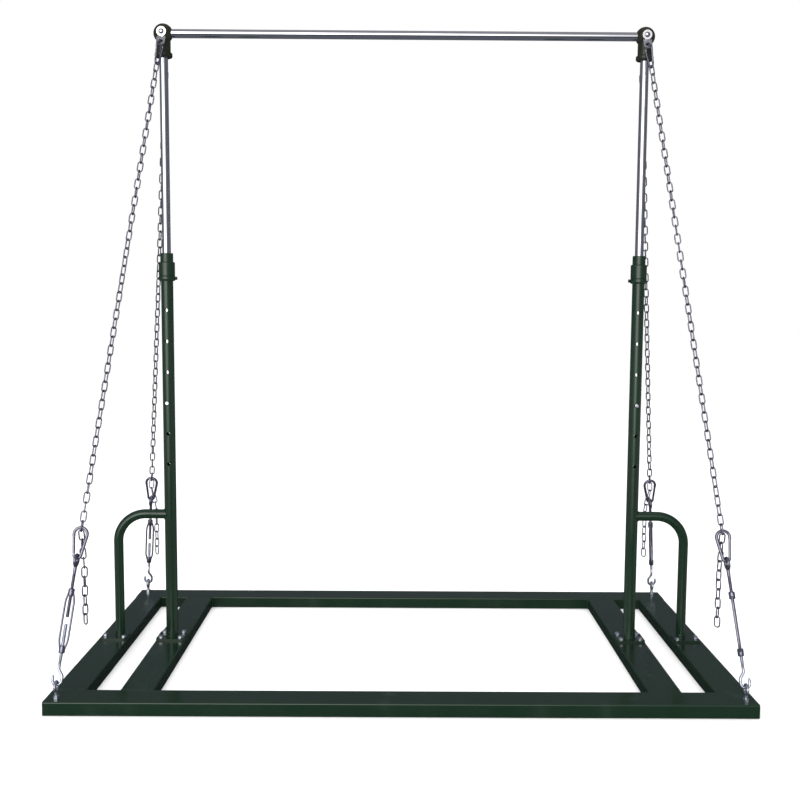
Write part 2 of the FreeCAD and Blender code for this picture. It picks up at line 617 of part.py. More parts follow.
def hook_outline(hook):
    """Tangent points and direction of a pear-shaped snap hook's gate side; bottom bow at the origin."""
    height = bow_to_bow(hook)
    spread = math.asin((hook["wide"] - hook["narrow"]) / (height - hook["wide"] - hook["narrow"]))
    outward = V(math.cos(spread), 0, -math.sin(spread))
    low = V(0, 0, hook["narrow"]) + outward * hook["narrow"]
    high = V(0, 0, height - hook["wide"]) + outward * hook["wide"]
    return low, high, (high - low).normalize(), height


def gate_hinge(hook):
    low, _, along, _ = hook_outline(hook)
    return low + along * HINGE_STEP


def make_snap_hook(hook):
    """Body, gate and hinge pin of a snap hook drawn in the XZ plane, gate on the +X side."""
    low, high, along, height = hook_outline(hook)
    flip = FreeCAD.Matrix()
    flip.scale(V(-1, 1, 1))
    far_low, far_high = flip.multVec(low), flip.multVec(high)
    nose = high - along * NOSE_LENGTH
    hinge = gate_hinge(hook)
    edges = [Part.Arc(low, V(0, 0, 0), far_low).toShape(),
             Part.LineSegment(far_low, far_high).toShape(),
             Part.Arc(far_high, V(0, 0, height), high).toShape(),
             Part.LineSegment(high, nose).toShape()]
    across = V(0, 1, 0)
    wire_r = hook["wire"]
    gate_r = wire_r * GATE_SHARE
    half_tab = across * (TAB_T / 2)
    side = along.cross(across) * TAB_R
    corners = [low - along - side - half_tab, low - along + side - half_tab,
               hinge + side - half_tab, hinge - side - half_tab]
    neck = Part.Face(Part.makePolygon(corners + corners[:1])).extrude(across * TAB_T)
    tab = rod(TAB_R, hinge - half_tab, hinge + half_tab)
    body = fuse([sweep(Part.Wire(edges), wire_r), neck, tab])
    far = across * (2 * wire_r)
    body = solid_of(body.cut(rod(GATE_PIN_R, hinge - far, hinge + far)))
    reach = (nose - hinge).Length
    gate = rod(gate_r, hinge - along * (TAB_R - BODY_GAP), hinge + along * reach)
    gate = gate.common(rod(reach - BODY_GAP, hinge - far, hinge + far))
    half_slot = (TAB_T + BODY_GAP) / 2
    slot = box(-2 * wire_r, 2 * wire_r, -half_slot, half_slot, -2 * wire_r, TAB_R + SLOT_ROOM)
    slot.Placement = FreeCAD.Placement(hinge, FreeCAD.Rotation(V(0, 0, 1), along))
    gate = gate.cut(slot)
    gate = solid_of(gate.cut(rod(GATE_PIN_R + RUN_FIT, hinge - far, hinge + far)))
    half_pin = across * (gate_r - GATE_PIN_SHORT)
    pin = rod(GATE_PIN_R, hinge - half_pin, hinge + half_pin)
    return body, gate, pin


def make_eye_bolt():
    """Eye bolt about its own eye's centre, shank down, eye in the YZ plane."""
    ring = Part.makeTorus(EYE_IN_R + EYE_WIRE, EYE_WIRE, V(0, 0, 0), V(1, 0, 0))
    shank_end = RAIL_TOP - RAIL_WALL - ANCHOR_NUT_H - SHANK_PAST_NUT - ANCHOR_Z
    shank = rod(EYE_SHANK_R, V(0, 0, shank_end), V(0, 0, -EYE_IN_R - EYE_WIRE))
    return solid_of(fuse([ring, shank]))


def make_hook_rod():
    """Hook and threaded rod about the stay: hook round the eye, tip on the outer side."""
    low = EYE_IN_R - HOOK_WIRE - HOOK_PLAY
    bow = low + HOOK_BOW_R
    points = [V(0, 0, BODY_START + BODY_LENGTH / 2 - ROD_END_GAP / 2),
              V(0, 0, bow + HOOK_BOW_R * HOOK_NECK[1]),
              V(-HOOK_BOW_R, 0, bow + HOOK_BOW_R * HOOK_NECK[0]), V(-HOOK_BOW_R, 0, bow)]
    start = bent_wire(points, [HOOK_BOW_R, HOOK_BOW_R])
    tip = V(HOOK_BOW_R, 0, bow + HOOK_TIP)
    edges = start.Edges + [Part.Arc(V(-HOOK_BOW_R, 0, bow), V(0, 0, low), V(HOOK_BOW_R, 0, bow)).toShape(),
                           Part.LineSegment(V(HOOK_BOW_R, 0, bow), tip).toShape()]
    hook = sweep(Part.Wire(edges), HOOK_WIRE)
    thread_low = V(0, 0, BODY_START - THREAD_BELOW_BODY)
    thread = rod(ROD_R, thread_low, points[0])
    return solid_of(fuse([hook, thread, Part.makeSphere(HOOK_WIRE, tip)]))


def make_eye_rod():
    """Threaded rod with an eye at its upper end, eye in the plane across the snap hook's wire."""
    low = V(0, 0, BODY_START + BODY_LENGTH / 2 + ROD_END_GAP / 2)
    eye = V(0, 0, ROD_EYE)
    ring = Part.makeTorus(ROD_EYE_IN_R + ROD_EYE_WIRE, ROD_EYE_WIRE, eye, V(1, 0, 0))
    return solid_of(fuse([rod(ROD_R, low, eye - V(0, 0, ROD_EYE_IN_R + ROD_EYE_WIRE)), ring]))


def make_turnbuckle_body():
    """Open body: two threaded bosses joined by two side bars that bow outwards."""
    low, high = BODY_START, BODY_START + BODY_LENGTH
    inner_w = BODY_HALF_W - BODY_BAR_W

    def outline(half_w, end_w, inset):
        z0, z1 = low + inset, high - inset
        wide0, wide1 = z0 + BODY_TAPER, z1 - BODY_TAPER
        points = [V(-end_w, 0, z0), V(end_w, 0, z0), V(half_w, 0, wide0), V(half_w, 0, wide1),
                  V(end_w, 0, z1), V(-end_w, 0, z1), V(-half_w, 0, wide1), V(-half_w, 0, wide0)]
        face = Part.Face(Part.makePolygon(points + points[:1]))
        face.translate(V(0, -BODY_BAR_T / 2, 0))
        return face.extrude(V(0, BODY_BAR_T, 0))

    frame = outline(BODY_HALF_W, BODY_BOSS_R - BODY_ROUND / 2, BODY_END_INSET)
    window = outline(inner_w, ROD_R, BODY_BOSS_L)
    frame = frame.cut(window)
    soft = [e for e in frame.Edges if abs(e.tangentAt(0).y) > 0.9]
    frame = frame.makeFillet(BODY_ROUND, soft)
    bosses = [rod(BODY_BOSS_R, V(0, 0, low), V(0, 0, low + BODY_BOSS_L)),
              rod(BODY_BOSS_R, V(0, 0, high - BODY_BOSS_L), V(0, 0, high))]
    body = fuse([frame] + bosses)
    return solid_of(body.cut(rod(ROD_R + RUN_FIT, V(0, 0, low - PAST), V(0, 0, high + PAST))))


def chain_links(link, joints, first_turn, turn_step, across):
    """Copies of `link` strung between joint points; each is turned on from the one before."""
    links = []
    for i, (a, b) in enumerate(zip(joints, joints[1:])):
        along = (b - a).normalize()
        side = (across - along * across.dot(along)).normalize()
        frame = FreeCAD.Rotation(side.cross(along), side, along, "ZXY")
        turn = FreeCAD.Rotation(V(0, 0, 1), first_turn + i * turn_step)
        copy = link.copy()
        copy.Placement = FreeCAD.Placement((a + b) * 0.5, frame.multiply(turn))
        links.append(copy)
    return links


def main_chain(stay, link):
    """Taut links from the lower snap hook to the upper one."""
    span = stay.chain_end - stay.chain_start
    pitch = 2 * LINK_IN_HALF - LINK_PLAY
    count = math.ceil(span / pitch)
    step = span / count
    joints = [stay.foot + stay.up * (stay.chain_start + i * step) for i in range(count + 1)]
    quarter_turns = 90.0 * (count - 1)
    total = quarter_turns + CHAIN_TWIST
    half_turns = round((total - stay.upper_turn) / 180)
    total = 180 * half_turns + stay.upper_turn
    return chain_links(link, joints, 0.0, total / (count - 1), stay.across)


def tail_chain(stay, link):
    """Spare links that hang from the lowest taut link; the first ones lean clear of the snap hook."""
    pitch = 2 * LINK_IN_HALF - LINK_PLAY
    leans = TAIL_LEANS["front" if stay.sy < 0 else "rear"]
    joints = [stay.foot + stay.up * stay.chain_start]
    for i in range(TAIL_LINKS):
        back, aside = leans[i] if i < len(leans) else (0.0, 0.0)
        lean = V(-stay.sx * math.tan(math.radians(aside)), -stay.sy * math.tan(math.radians(back)), -1)
        joints.append(joints[-1] + lean.normalize() * pitch)
    return chain_links(link, joints, TAIL_TURN[0], TAIL_TURN[1], V(0, 1, 0))


def make_stays():
    link = make_link()
    lower = make_snap_hook(LOWER_HOOK)
    upper = make_snap_hook(UPPER_HOOK)
    eye_bolt = make_eye_bolt()
    hook_rod = make_hook_rod()
    eye_rod = make_eye_rod()
    body = make_turnbuckle_body()
    groups = {"eye_bolts": [], "anchor_nuts": [], "turnbuckle_hooks": [], "lower_snap_hooks": [],
              "lower_gate_pins": [], "upper_snap_hooks": [], "upper_gate_pins": [], "chain_tails": []}
    for name, sx, sy in STAYS:
        stay = Stay(name, sx, sy)
        bolt = eye_bolt.copy()
        bolt.translate(stay.foot)
        nut_at = V(stay.foot.x, stay.foot.y, RAIL_TOP)
        nut = hexagon(ANCHOR_FLATS, ANCHOR_NUT_H, nut_at)
        nut = nut.cut(rod(EYE_SHANK_R + SEAT_FIT, nut_at - V(0, 0, 1), nut_at + V(0, 0, 2 * ANCHOR_NUT_H)))
        groups["eye_bolts"].append(bolt)
        groups["anchor_nuts"].append(nut)
        groups["turnbuckle_hooks"].append(stay.place(hook_rod, 0))
        export(name + "_turnbuckle", [stay.place(body, 0, BODY_TURN[name])])
        export(name + "_eye_rod", [stay.place(eye_rod, 0)])
        groups["lower_snap_hooks"].append(stay.place(lower[0], stay.lower_bow))
        export(name + "_lower_gate", [stay.place(lower[1], stay.lower_bow)])
        groups["lower_gate_pins"].append(stay.place(lower[2], stay.lower_bow))
        groups["upper_snap_hooks"].append(stay.place(upper[0], stay.upper_bow, stay.upper_turn))
        export(name + "_upper_gate", [stay.place(upper[1], stay.upper_bow, stay.upper_turn)])
        groups["upper_gate_pins"].append(stay.place(upper[2], stay.upper_bow, stay.upper_turn))
        export(name + "_chain", main_chain(stay, link))
        groups["chain_tails"] += tail_chain(stay, link)
    for node, solids in groups.items():
        export(node, solids)


make_frame()
make_fasteners()
make_posts()
make_braces()
make_collars()
make_lock_pins()
make_telescope()
make_heads()
make_lugs()
make_stays()
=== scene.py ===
"""Looks of the free-standing high bar.  Metres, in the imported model's frame: X along the bar, -Y the
front, Z up.  The CAD nodes whose shape is right keep it and get materials; chains, threaded rods,
turnbuckle bodies and weld beads are finer meshes that stand for or add to them.
"""

import bpy
import json
import math
import random
from mathutils import Matrix, Vector


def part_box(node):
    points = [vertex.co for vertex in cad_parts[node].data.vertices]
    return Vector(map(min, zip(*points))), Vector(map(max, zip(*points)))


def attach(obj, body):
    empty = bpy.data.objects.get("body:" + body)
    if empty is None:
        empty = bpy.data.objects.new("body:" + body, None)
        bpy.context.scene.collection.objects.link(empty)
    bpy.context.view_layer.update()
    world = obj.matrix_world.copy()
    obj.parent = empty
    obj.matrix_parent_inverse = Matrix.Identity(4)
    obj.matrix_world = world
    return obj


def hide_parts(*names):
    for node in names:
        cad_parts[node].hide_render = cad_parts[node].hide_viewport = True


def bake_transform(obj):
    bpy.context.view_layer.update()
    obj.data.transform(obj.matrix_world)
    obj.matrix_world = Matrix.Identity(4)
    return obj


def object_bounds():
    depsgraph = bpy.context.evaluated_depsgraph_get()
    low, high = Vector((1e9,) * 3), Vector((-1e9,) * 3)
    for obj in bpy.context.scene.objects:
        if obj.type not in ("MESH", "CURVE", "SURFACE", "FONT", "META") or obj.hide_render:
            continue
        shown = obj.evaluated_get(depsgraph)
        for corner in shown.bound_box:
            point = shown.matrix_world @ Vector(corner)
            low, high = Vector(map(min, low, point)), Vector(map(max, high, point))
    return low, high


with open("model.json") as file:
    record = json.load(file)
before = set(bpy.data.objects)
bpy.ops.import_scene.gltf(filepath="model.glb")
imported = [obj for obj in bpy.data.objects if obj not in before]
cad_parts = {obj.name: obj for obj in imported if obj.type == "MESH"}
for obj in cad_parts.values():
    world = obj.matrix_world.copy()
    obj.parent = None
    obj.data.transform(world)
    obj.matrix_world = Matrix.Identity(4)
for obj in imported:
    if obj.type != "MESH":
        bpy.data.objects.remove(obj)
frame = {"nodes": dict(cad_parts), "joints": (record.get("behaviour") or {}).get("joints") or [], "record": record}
CAD_LOW, CAD_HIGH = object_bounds()

MM = 0.001
UP = Vector((0, 0, 1))
SIDES = (("left", -1), ("right", 1))
STAYS = [(fore + "_" + side, sx, sy) for fore, sy in (("front", -1), ("rear", 1)) for side, sx in SIDES]

# ---------------------------------------------------------------- sizes, camera and light
LINK_WIRE = 2.5 * MM            # wire radius
LINK_HALF_W = 9.5 * MM          # centre line
LINK_HALF_L = 20.0 * MM         # centre line
LINK_STEP = 34.16 * MM
LINK_SWELL = 0.16               # of the wire, at the weld in the middle of one side
LINK_SWELL_L = 1.6 * MM
LINK_LOOSE = 2.5                # degrees that a link may lie off its turn
# (share of the way up, degrees on top of the quarter turns); the top link lies as its hook needs
CHAIN_TWIST = ((0.0, 0.0), (0.12, 45.0), (0.45, 45.0), (0.70, 90.0), (0.93, 90.0))
UPPER_TURN = 66.0               # the top link's own turn, in degrees, mirrored from stay to stay
TAIL_LINKS = 10
TAIL_PITCH = 34.6 * MM
TAIL_TURN = (90.0, 84.0)        # first spare link about its length, and each one after it on from the last
# degrees each of the first spare links leans inwards, along Y and along X; the others hang plumb
TAIL_LEANS = {"front": ((12.0, 0.0), (6.0, 0.0), (0.0, 4.0), (0.0, 4.0)),
              "rear": ((12.0, 0.0), (6.0, 14.0), (0.0, 15.0), (0.0, 8.0))}

BODY_MIDDLE = 227.5 * MM        # turnbuckle body's middle, along the stay from the eye bolt's eye
BODY_HALF_L = 112.5 * MM
BODY_HALF_W = 15.5 * MM         # centre lines of the side bars
BODY_ROOT_W = 6.5 * MM          # the same where they leave the bosses
BODY_ROOT_IN = 11.0 * MM        # how far inside the body's ends they start
BODY_BAR_R = (3.5 * MM, 4.4 * MM)
BODY_TAPER = 44.0 * MM
BOSS_R = 11.0 * MM
BOSS_L = 26.0 * MM
BOSS_EDGE = ((2.0 * MM, 0.0), (0.6 * MM, 0.8 * MM), (0.0, 2.4 * MM))    # rounding: in from the side, up
BORE_CLEARANCE = 0.08 * MM
THREAD_R = 6.0 * MM
THREAD_PITCH = 1.75 * MM
THREAD_DEPTH = 0.95 * MM
THREAD_ROWS = 7                 # rings of vertices in a pitch
THREAD_SEGMENTS = 22
ROD_GAP = 12.0 * MM             # rod ends stand back this far from the body's middle
HOOK_WIRE = 5.0 * MM
HOOK_BOW_R = 16.0 * MM
HOOK_TIP = 12.0 * MM
HOOK_NECK = (1.1, 2.6)          # heights where the neck starts and ends its slant, in bow radii
HOOK_LIFT = 0.4 * MM            # of the hook made here above the bottom of the CAD hooks
THREAD_START = 93.0 * MM        # where the hook's shank turns into its thread
THREAD_LAP = 2 * MM             # the thread's end is buried this deep in the shank
ROD_EYE = 440.0 * MM            # middle of the rod's eye, along the stay
ROD_EYE_R = 19.5 * MM           # centre line
ROD_EYE_WIRE = 5.5 * MM
# neck of the eye rod: (share of the thread's radius, height from the eye's root)
ROD_NECK = ((0.86, -30 * MM), (0.98, -28 * MM), (1.0, -12 * MM), (1.05, -5 * MM), (0.9, 1 * MM))
ROD_NECK_TOP = 2 * MM           # from the eye's root, as is the end of the rod's thread
ROD_THREAD_END = -29 * MM
ON_AXIS = 0.0001                # radius that stands for a point on a lathe's axis

POST_BEAD = 2.6 * MM            # weld beads' radii
FOOT_BEAD = 2.4 * MM
BRACE_BEAD = 2.3 * MM
UPRIGHT_BEAD = 2.2 * MM         # up the inside corners between two rails
FLUSH_BEAD = 1.5 * MM           # across the rails' top faces
BEAD_SEGMENTS = 8
RING_LIFT = 1.2 * MM            # a foot's bead above the plate it stands on
POST_BEAD_OUT = 1.2 * MM        # and out from the tube's face
BRACE_BEAD_OUT = 1.0 * MM
CORNER_IN = 1.0 * MM            # an upright bead out of its corner
RAIL_ROUND = 5.0 * MM           # beads stop this far short of a rail's rounded edges,
UPRIGHT_STOP = 6.0 * MM         # and upright ones this far below the top face
OUTER_EDGE = 20.0 * MM          # nearer than this to the frame's end a rail's side has no corner
FLUSH_SINK = 1.15 * MM          # middle of a flush bead below the top face

CAMERA_PLACE = (-0.0261, -4.1027, 1.4309)        # solved from the photograph's edges
CAMERA_YAW, CAMERA_PITCH, CAMERA_ROLL = 0.00416, 0.09356, 0.006      # radians
CAMERA_LENS, CAMERA_SENSOR = 45.50, 36.0         # mm

# What shiny pieces mirror
SOFTBOX_AIM = (-0.27, -0.94, 0.20)      # direction from the object to the middle of the front light
SOFTBOX = (3.1, 3.1, 3.0)
# colours round it, by closeness to the aim: the cosine of the angle between them
SOFTBOX_GLOW = ((0.74, (0.34, 0.34, 0.36)), (0.86, (0.70, 0.70, 0.72)))
SOFTBOX_REACH = (0.45, 0.60)            # closeness at which its glow begins to cover the walls, and does so
SOFTBOX_FOOT = (-0.165, -0.115)         # it ends at this height of a unit direction
CEILING = (0.32, 0.32, 0.34)
WALL = (0.112, 0.119, 0.142)
SHADE = (0.025, 0.026, 0.030)           # below the walls, in front and behind
PALE_FLOOR = (0.26, 0.26, 0.28)         # below the walls, at both sides
SIDES_FROM = (0.60, 0.85)               # the sides begin, and are reached, at this |x| of a unit direction
# What matt pieces receive from all round, and what the camera sees behind the object
ROOM_LIGHT = (1.16, 1.16, 1.16)
BACKDROP = (1.0, 1.0, 1.0)

# (name, place, size in metres, watts); both aim at the object's middle
LAMPS = (("front_fill", (-1.8, -6.5, 2.6), (5.0, 4.0), 230.0),
         ("overhead_fill", (0.0, 0.0, 6.0), (7.0, 7.0), 160.0))
FLOOR_HALF = 40.0
FLOOR_GAP = 0.2 * MM                    # floor below the feet, so that they don't share a plane


# ================================================================ mesh helpers
def unit_circle(count):
    """(cosine, sine) of evenly spaced turns."""
    turns = [2 * math.pi * i / count for i in range(count)]
    return [(math.cos(t), math.sin(t)) for t in turns]


def mesh_object(name, vertices, faces, material, smooth=True):
    mesh = bpy.data.meshes.new(name)
    mesh.from_pydata([tuple(v) for v in vertices], [], faces)
    mesh.validate()
    for polygon in mesh.polygons:
        polygon.use_smooth = smooth
    mesh.materials.append(material)
    piece = bpy.data.objects.new(name, mesh)
    bpy.context.scene.collection.objects.link(piece)
    return piece


class Shell:
    """Vertices and faces gathered from several closed skins."""

    def __init__(self):
        self.vertices = []
        self.faces = []

    def add(self, vertices, faces, matrix=None):
        first = len(self.vertices)
        self.vertices += [matrix @ v for v in vertices] if matrix else vertices
        self.faces += [tuple(first + i for i in face) for face in faces]

    def make(self, name, material):
        return mesh_object(name, self.vertices, self.faces, material)


def skin_rings(rings, closed):
    """Quads between neighbouring rings; an open run gets its two ends capped."""
    count = len(rings[0])
    vertices = [v for ring in rings for v in ring]
    faces = []
    last = len(rings) if closed else len(rings) - 1
    for i in range(last):
        a, b = i * count, (i + 1) % len(rings) * count
        for j in range(count):
            k = (j + 1) % count
            faces.append((a + j, a + k, b + k, b + j))
    if not closed:
        faces.append(tuple(reversed(range(count))))
        faces.append(tuple((len(rings) - 1) * count + j for j in range(count)))
    return vertices, faces


def sweep(path, radius, side, segments, closed=False):
    """Skin along a path.  `radius(i)` gives the half sizes (along side, across it) at point i."""
    rings = []
    count = len(path)
    circle = unit_circle(segments)
    for i, point in enumerate(path):
        if closed:
            tangent = path[(i + 1) % count] - path[i - 1]
        else:
            tangent = path[min(i + 1, count - 1)] - path[max(i - 1, 0)]
        tangent.normalize()
        side = (side - tangent * side.dot(tangent)).normalized()
        lift = tangent.cross(side)
        a, b = radius(i)
        rings.append([point + side * (a * x) + lift * (b * y) for x, y in circle])
    return skin_rings(rings, closed)


def lathe(profile, segments):
    """Turned shape about Z from (radius, height) points, closed by a flat cap at each end."""
    circle = unit_circle(segments)
    rings = [[Vector((r * x, r * y, z)) for x, y in circle] for r, z in profile]
    return skin_rings(rings, False)


def thread(z0, z1):
    """Threaded rod about Z: a cylinder whose radius follows a helix, plain at both ends."""
    rows = max(4, int((z1 - z0) / THREAD_PITCH * THREAD_ROWS))
    circle = unit_circle(THREAD_SEGMENTS)
    rings = []
    for i in range(rows + 1):
        z = z0 + (z1 - z0) * i / rows
        fade = min(1.0, min(z - z0, z1 - z) / THREAD_PITCH)
        ring = []
        for j, (x, y) in enumerate(circle):
            phase = (z / THREAD_PITCH - j / THREAD_SEGMENTS) % 1.0
            groove = abs(2 * phase - 1)
            r = THREAD_R - THREAD_DEPTH * (fade * groove + (1 - fade))
            ring.append(Vector((r * x, r * y, z)))
        rings.append(ring)
    return skin_rings(rings, False)


# ================================================================ materials
def new_material(name, metallic=0.0):
    material = bpy.data.materials.new(name)
    material.use_nodes = True
    tree = material.node_tree
    bsdf = tree.nodes["Principled BSDF"]
    bsdf.inputs["Metallic"].default_value = metallic
    return material, tree, bsdf


def object_noise(tree, scale, detail=4.0, stretch=(1, 1, 1), offset=0.0):
    """Noise in the model's own coordinates."""
    place = tree.nodes.new("ShaderNodeTexCoord")
    mapping = tree.nodes.new("ShaderNodeMapping")
    mapping.inputs["Scale"].default_value = stretch
    mapping.inputs["Location"].default_value = (offset, offset, offset)
    noise = tree.nodes.new("ShaderNodeTexNoise")
    noise.inputs["Scale"].default_value = scale
    noise.inputs["Detail"].default_value = detail
    tree.links.new(place.outputs["Object"], mapping.inputs["Vector"])
    tree.links.new(mapping.outputs["Vector"], noise.inputs["Vector"])
    return noise.outputs["Fac"]


def ramp(tree, factor, stops):
    """Colour ramp from (position, colour) stops."""
    node = tree.nodes.new("ShaderNodeValToRGB")
    elements = node.color_ramp.elements
    while len(elements) < len(stops):
        elements.new(0.5)
    for element, (position, colour) in zip(elements, stops):
        element.position = position
        element.color = (*colour, 1.0)
    tree.links.new(factor, node.inputs["Fac"])
    return node.outputs["Color"]


def span(tree, factor, low, high, from_low=0.3, from_high=0.7):
    """Maps `factor` from its own range to low..high, held at both ends."""
    node = tree.nodes.new("ShaderNodeMapRange")
    node.inputs["From Min"].default_value = from_low
    node.inputs["From Max"].default_value = from_high
    node.inputs["To Min"].default_value = low
    node.inputs["To Max"].default_value = high
    tree.links.new(factor, node.inputs["Value"])
    return node.outputs["Result"]


def bump(tree, bsdf, height, distance, strength, under=None):
    """Bump on a shader, over an earlier one if `under` is given."""
    node = tree.nodes.new("ShaderNodeBump")
    node.inputs["Strength"].default_value = strength
    node.inputs["Distance"].default_value = distance
    tree.links.new(height, node.inputs["Height"])
    if under:
        tree.links.new(under, node.inputs["Normal"])
    tree.links.new(node.outputs["Normal"], bsdf.inputs["Normal"])
    return node.outputs["Normal"]


def mix_colour(tree, factor, first, second):
    """Mixes two colours, each a tuple or a socket.  The colour sockets of a mix node share their names
    with its other ones, so they go by number."""
    node = tree.nodes.new("ShaderNodeMix")
    node.data_type = "RGBA"
    tree.links.new(factor, node.inputs["Factor"])
    for socket, value in ((node.inputs[6], first), (node.inputs[7], second)):
        if isinstance(value, tuple):
            socket.default_value = (*value, 1.0)
        else:
            tree.links.new(value, socket)
    return node.outputs[2]


def green_paint():
    """Gloss enamel sprayed on rails, posts and braces: orange peel, slow shade changes, faint rubs."""
    material, tree, bsdf = new_material("gloss_green_enamel")
    shade = ramp(tree, object_noise(tree, 2.2, 3.0),
                 [(0.3, (0.0052, 0.0178, 0.0086)), (0.7, (0.0066, 0.0212, 0.0104))])
    rubs = object_noise(tree, 9.0, 8.0, (1.0, 1.0, 0.35), 3.0)
    mask = span(tree, rubs, 0.0, 1.0, 0.62, 0.74)
    tree.links.new(mix_colour(tree, mask, shade, (0.0110, 0.0270, 0.0165)), bsdf.inputs["Base Color"])
    tree.links.new(span(tree, rubs, 0.15, 0.30, 0.35, 0.8), bsdf.inputs["Roughness"])
    peel = bump(tree, bsdf, object_noise(tree, 260.0, 2.0), 0.00006, 0.5)
    bump(tree, bsdf, object_noise(tree, 14.0, 2.0, offset=7.0), 0.0006, 0.25, peel)
    bsdf.inputs["IOR"].default_value = 1.6
    return material


def head_paint():
    """Semi-gloss black-olive enamel over a sand casting."""
    material, tree, bsdf = new_material("olive_cast_enamel")
    grain = object_noise(tree, 420.0, 5.0)
    shade = ramp(tree, object_noise(tree, 30.0, 4.0),
                 [(0.3, (0.0070, 0.0082, 0.0042)), (0.7, (0.0165, 0.0178, 0.0085))])
    tree.links.new(shade, bsdf.inputs["Base Color"])
    tree.links.new(span(tree, grain, 0.24, 0.42), bsdf.inputs["Roughness"])
    cast = bump(tree, bsdf, grain, 0.00022, 0.6)
    bump(tree, bsdf, object_noise(tree, 60.0, 2.0, offset=2.0), 0.0008, 0.35, cast)
    return material


def chrome(name, colour, along, rough=(0.05, 0.12)):
    """Polished chrome with hairlines along the piece and faint cloudy wipe marks."""
    material, tree, bsdf = new_material(name, 1.0)
    clouds = object_noise(tree, 16.0, 5.0)
    dull = tuple(c * 0.90 for c in colour)
    tree.links.new(ramp(tree, clouds, [(0.35, colour), (0.75, dull)]), bsdf.inputs["Base Color"])
    tree.links.new(span(tree, clouds, rough[0], rough[1]), bsdf.inputs["Roughness"])
    bump(tree, bsdf, object_noise(tree, 700.0, 2.0, along), 0.00002, 0.35)
    return material


def zinc(name, blue, pale, warm, worn):
    """Zinc plate with bluish passivation, small grains and duller worn patches."""
    material, tree, bsdf = new_material(name, 1.0)
    tint = ramp(tree, object_noise(tree, 45.0, 3.0), [(0.30, blue), (0.50, pale), (0.72, warm)])
    place = tree.nodes.new("ShaderNodeTexCoord")
    grains = tree.nodes.new("ShaderNodeTexVoronoi")
    grains.inputs["Scale"].default_value = 700.0
    tree.links.new(place.outputs["Object"], grains.inputs["Vector"])
    patches = span(tree, object_noise(tree, 120.0, 6.0, offset=5.0), 0.0, 0.55, 0.55, 0.75)
    tree.links.new(mix_colour(tree, patches, tint, worn), bsdf.inputs["Base Color"])
    tree.links.new(span(tree, grains.outputs["Distance"], 0.26, 0.42, 0.0, 0.8), bsdf.inputs["Roughness"])
    bump(tree, bsdf, grains.outputs["Distance"], 0.00004, 0.4)
    return material


def black_oxide():
    """Blackened steel of the small screws."""
    material, tree, bsdf = new_material("black_oxide", 1.0)
    grain = object_noise(tree, 300.0, 4.0)
    tree.links.new(ramp(tree, grain, [(0.3, (0.030, 0.032, 0.030)), (0.7, (0.060, 0.060, 0.056))]),
                   bsdf.inputs["Base Color"])
    tree.links.new(span(tree, grain, 0.30, 0.45), bsdf.inputs["Roughness"])
    bump(tree, bsdf, grain, 0.00005, 0.4)
    return material


def nylon():
    """Moulded black nylon."""
    material, tree, bsdf = new_material("black_nylon")
    grain = object_noise(tree, 500.0, 3.0)
    tree.links.new(ramp(tree, grain, [(0.3, (0.010, 0.010, 0.010)), (0.7, (0.020, 0.020, 0.019))]),
                   bsdf.inputs["Base Color"])
    tree.links.new(span(tree, grain, 0.42, 0.55), bsdf.inputs["Roughness"])
    bump(tree, bsdf, grain, 0.00005, 0.5)
    return material


def floor_material():
    """Plain pale matt floor."""
    material, tree, bsdf = new_material("studio_floor")
    shade = ramp(tree, object_noise(tree, 0.8, 3.0), [(0.3, (0.89, 0.89, 0.89)), (0.7, (0.91, 0.91, 0.91))])
    tree.links.new(shade, bsdf.inputs["Base Color"])
    bsdf.inputs["Roughness"].default_value = 0.9
    bsdf.inputs["Specular IOR Level"].default_value = 0.1
    return material


MATERIALS = {
    "green_paint": green_paint(),
    "head_paint": head_paint(),
    "bar_chrome": chrome("polished_chrome", (0.83, 0.83, 0.87), (0.04, 1.0, 0.04)),
    "polished_fittings": chrome("polished_fittings", (0.86, 0.86, 0.89), (1.0, 1.0, 0.2), (0.08, 0.20)),
    "bright_zinc": zinc("zinc_plate", (0.25, 0.25, 0.36), (0.36, 0.36, 0.45), (0.31, 0.28, 0.36),
                        (0.20, 0.19, 0.25)),
    "black_screws": black_oxide(),
    "black_nylon": nylon(),
}
FRESH_ZINC = zinc("fresh_zinc_plate", (0.62, 0.68, 0.86), (0.82, 0.84, 0.92), (0.74, 0.74, 0.84),
                  (0.55, 0.56, 0.62))
FRESH_NODES = ("post_foot_bolts", "brace_foot_bolts", "anchor_nuts", "eye_bolts")


def finish_cad_nodes():
    """Each CAD node takes the material of its slot in the record; the fixings' zinc is fresher."""
    for part in frame["record"]["subparts"]:
        node = frame["nodes"][part["node"]]
        material = FRESH_ZINC if part["node"] in FRESH_NODES else MATERIALS[part["material_slot"]]
        if node.data.materials:
            for i in range(len(node.data.materials)):
                node.data.materials[i] = material
        else:
            node.data.materials.append(material)


def zinc_piece(shell, name, material=MATERIALS["bright_zinc"]):
    """Piece in the record's zinc slot, from a finished shell."""
    return shell.make(name, material)


